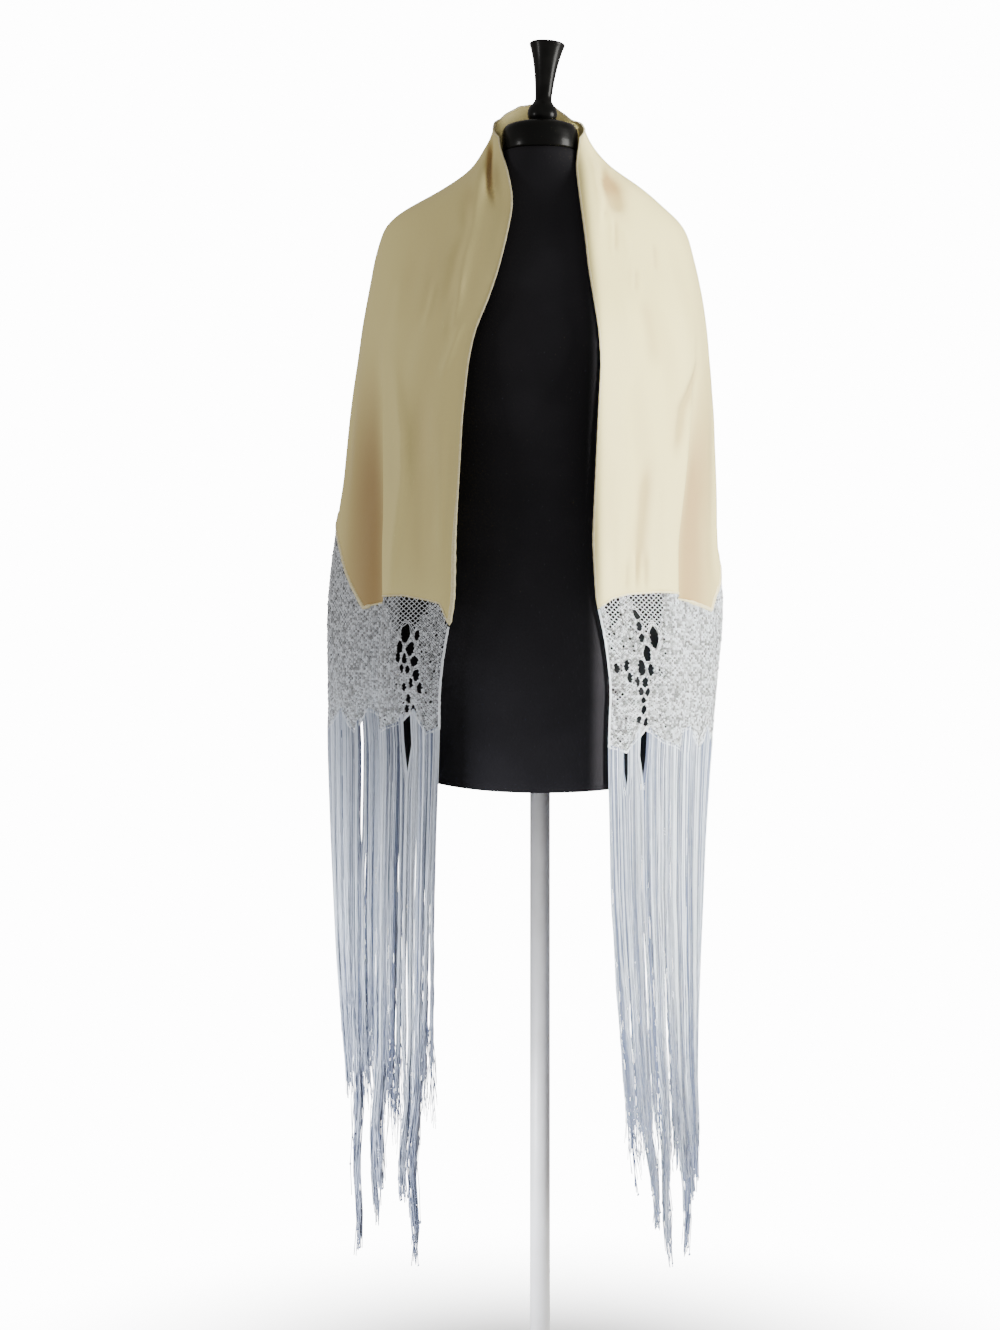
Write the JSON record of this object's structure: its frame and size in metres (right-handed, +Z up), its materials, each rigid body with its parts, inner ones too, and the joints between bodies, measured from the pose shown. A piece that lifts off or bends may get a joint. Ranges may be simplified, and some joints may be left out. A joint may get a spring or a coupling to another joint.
{
  "type": "fringed silk shawl with lace border on a dress form",
  "caption": "Long silk shawl with knotted lace ends and deep fringe, hanging open over the shoulders of a limbless dress form on a pole stand.",
  "frame": {"origin": "centre of the stand foot's underside, on the floor", "axes": "+Z up, -Y towards the front where the shawl hangs open, +X to the right as seen from the front"},
  "size_m": [0.4944, 0.3, 1.673],
  "materials": {
    "crepe": "soft matt silk crepe, cream",
    "lace_cord": "knotted silk cord, pale silver white",
    "fringe_silk": "loose twisted silk, pale silver blue with a sheen",
    "jersey": "matt black knitted cover",
    "lacquered_wood": "turned and lacquered gloss black",
    "stand_steel": "white powder coat on steel"
  },
  "bodies": {
    "root": {"shawl_cloth": "crepe", "lace_left": "lace_cord", "lace_right": "lace_cord", "fringe_left_front": "fringe_silk", "fringe_left_side": "fringe_silk", "fringe_right_front": "fringe_silk", "fringe_right_side": "fringe_silk", "form_body": "jersey", "neck_cap": "lacquered_wood", "finial": "lacquered_wood", "pole": "stand_steel", "foot": "stand_steel"}
  },
  "joints": []
}
